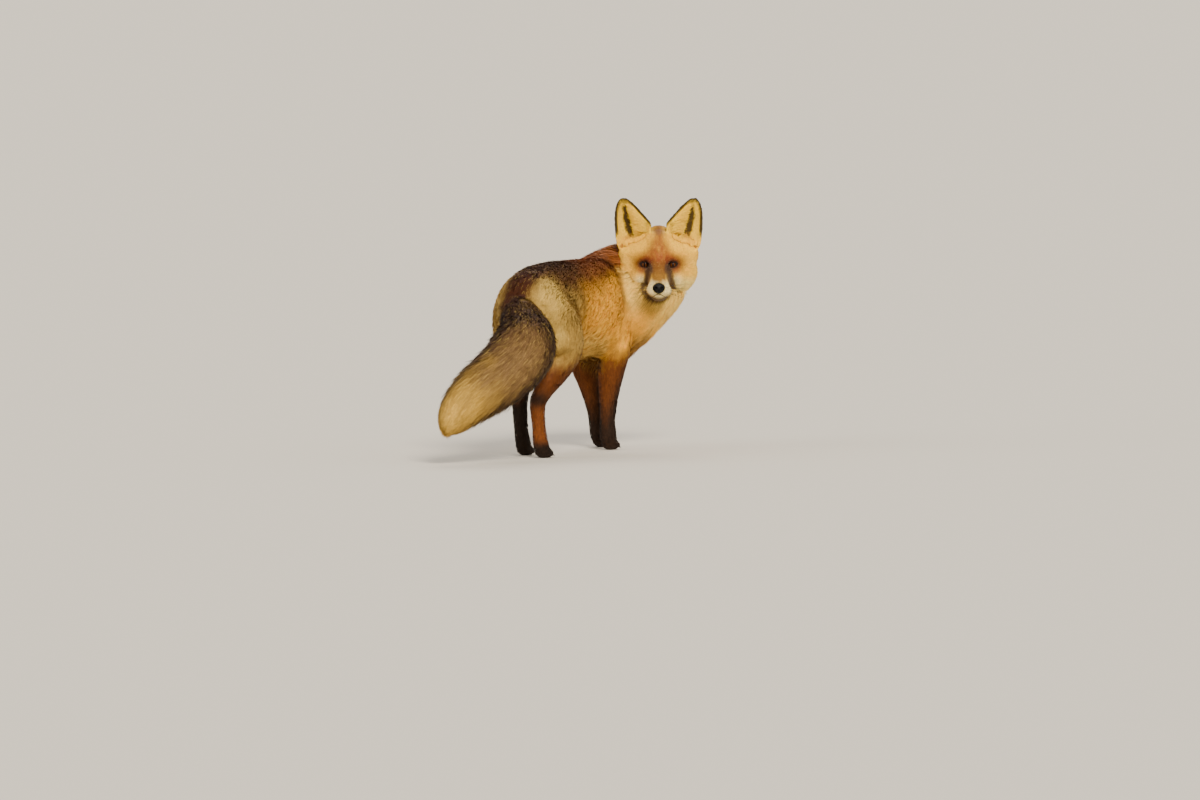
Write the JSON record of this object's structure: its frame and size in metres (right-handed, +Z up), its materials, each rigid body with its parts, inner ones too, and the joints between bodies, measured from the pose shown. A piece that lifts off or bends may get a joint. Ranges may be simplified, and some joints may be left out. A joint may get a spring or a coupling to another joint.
{
  "type": "red fox",
  "caption": "Still life-size museum model of a red fox in winter coat, standing and looking back over its right shoulder, with a full hanging tail.",
  "frame": {"origin": "middle of the bounding box, on the floor under the soles", "axes": "+X the way the body heads, +Y the fox's left, +Z up"},
  "size_m": [0.8186, 0.272, 0.5039],
  "materials": {
    "gold_coat": "soft fur",
    "face_coat": "short soft fur",
    "ear_coat": "short soft fur",
    "grizzled_coat": "long soft fur",
    "cream_coat": "long soft fur",
    "rust_coat": "short fur",
    "black_coat": "short fur",
    "eye": "wet gloss",
    "nose": "moist, finely pebbled"
  },
  "bodies": {
    "root": {"trunk": "gold_coat", "neck": "gold_coat", "head": "face_coat", "ear_left": "ear_coat", "ear_right": "ear_coat", "eye_left": "eye", "eye_right": "eye", "nose": "nose", "tail_root": "grizzled_coat", "tail_middle": "grizzled_coat", "tail_tip": "cream_coat", "thigh_left": "grizzled_coat", "thigh_right": "grizzled_coat", "shank_left": "rust_coat", "shank_right": "rust_coat", "hind_foot_left": "black_coat", "hind_foot_right": "black_coat", "upper_arm_left": "gold_coat", "upper_arm_right": "gold_coat", "forearm_left": "rust_coat", "forearm_right": "rust_coat", "fore_foot_left": "black_coat", "fore_foot_right": "black_coat"}
  },
  "joints": []
}
